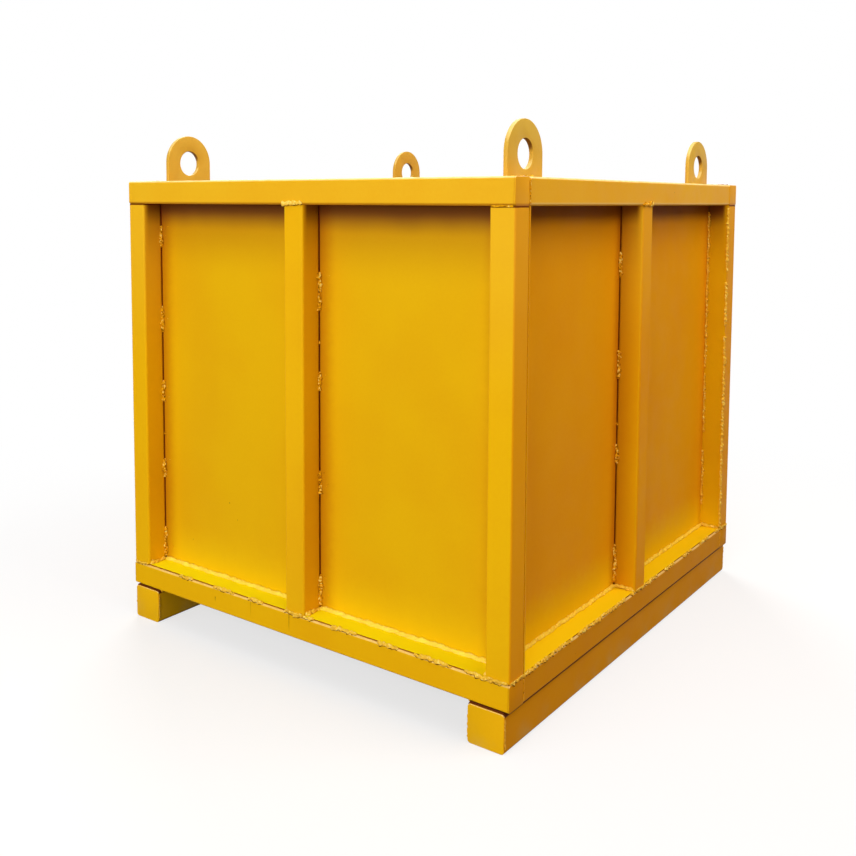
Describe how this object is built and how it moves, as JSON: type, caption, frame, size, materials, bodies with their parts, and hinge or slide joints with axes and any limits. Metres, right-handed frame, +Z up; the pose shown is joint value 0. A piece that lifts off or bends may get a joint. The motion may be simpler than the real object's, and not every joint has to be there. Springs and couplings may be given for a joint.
{
  "type": "material lifting box",
  "caption": "Open-topped welded steel box on skids, with posts and rails of square tube, sheet walls and lifting lugs, for craning loose material on a building site.",
  "frame": {"origin": "on the ground, under the middle of the box", "axes": "+Z up, +X along the front to the right, front facing -Y"},
  "size_m": [1, 1.1064, 1.105],
  "materials": {
    "skid_paint": "sprayed yellow enamel, scuffed underneath",
    "base_paint": "sprayed yellow enamel over weld beads",
    "floor_paint": "sprayed yellow enamel, worn on the load face",
    "frame_paint": "sprayed yellow enamel, satin",
    "panel_paint": "sprayed yellow enamel, satin, thin at the welds",
    "lug_paint": "sprayed yellow enamel, rubbed in the eye"
  },
  "bodies": {
    "root": {"skid_left": "skid_paint", "skid_right": "skid_paint", "skid_cap_front_left": "skid_paint", "skid_cap_front_right": "skid_paint", "skid_cap_rear_left": "skid_paint", "skid_cap_rear_right": "skid_paint", "base_beam_front": "base_paint", "base_beam_rear": "base_paint", "base_beam_left": "base_paint", "base_beam_right": "base_paint", "base_cap_front_left": "base_paint", "base_cap_front_right": "base_paint", "base_cap_rear_left": "base_paint", "base_cap_rear_right": "base_paint", "floor_joist_1": "base_paint", "floor_joist_2": "base_paint", "floor_joist_3": "base_paint", "floor_plate": "floor_paint", "corner_post_front_left": "frame_paint", "corner_post_front_right": "frame_paint", "corner_post_rear_left": "frame_paint", "corner_post_rear_right": "frame_paint", "mid_post_front": "frame_paint", "mid_post_rear": "frame_paint", "mid_post_left": "frame_paint", "mid_post_right": "frame_paint", "top_rail_front": "frame_paint", "top_rail_rear": "frame_paint", "top_rail_left": "frame_paint", "top_rail_right": "frame_paint", "top_rail_cap_front_left": "frame_paint", "top_rail_cap_front_right": "frame_paint", "top_rail_cap_rear_left": "frame_paint", "top_rail_cap_rear_right": "frame_paint", "wall_panel_front": "panel_paint", "wall_panel_rear": "panel_paint", "wall_panel_left": "panel_paint", "wall_panel_right": "panel_paint", "lifting_lug_front_left": "lug_paint", "lifting_lug_front_right": "lug_paint", "lifting_lug_rear_left": "lug_paint", "lifting_lug_rear_right": "lug_paint"}
  },
  "joints": []
}
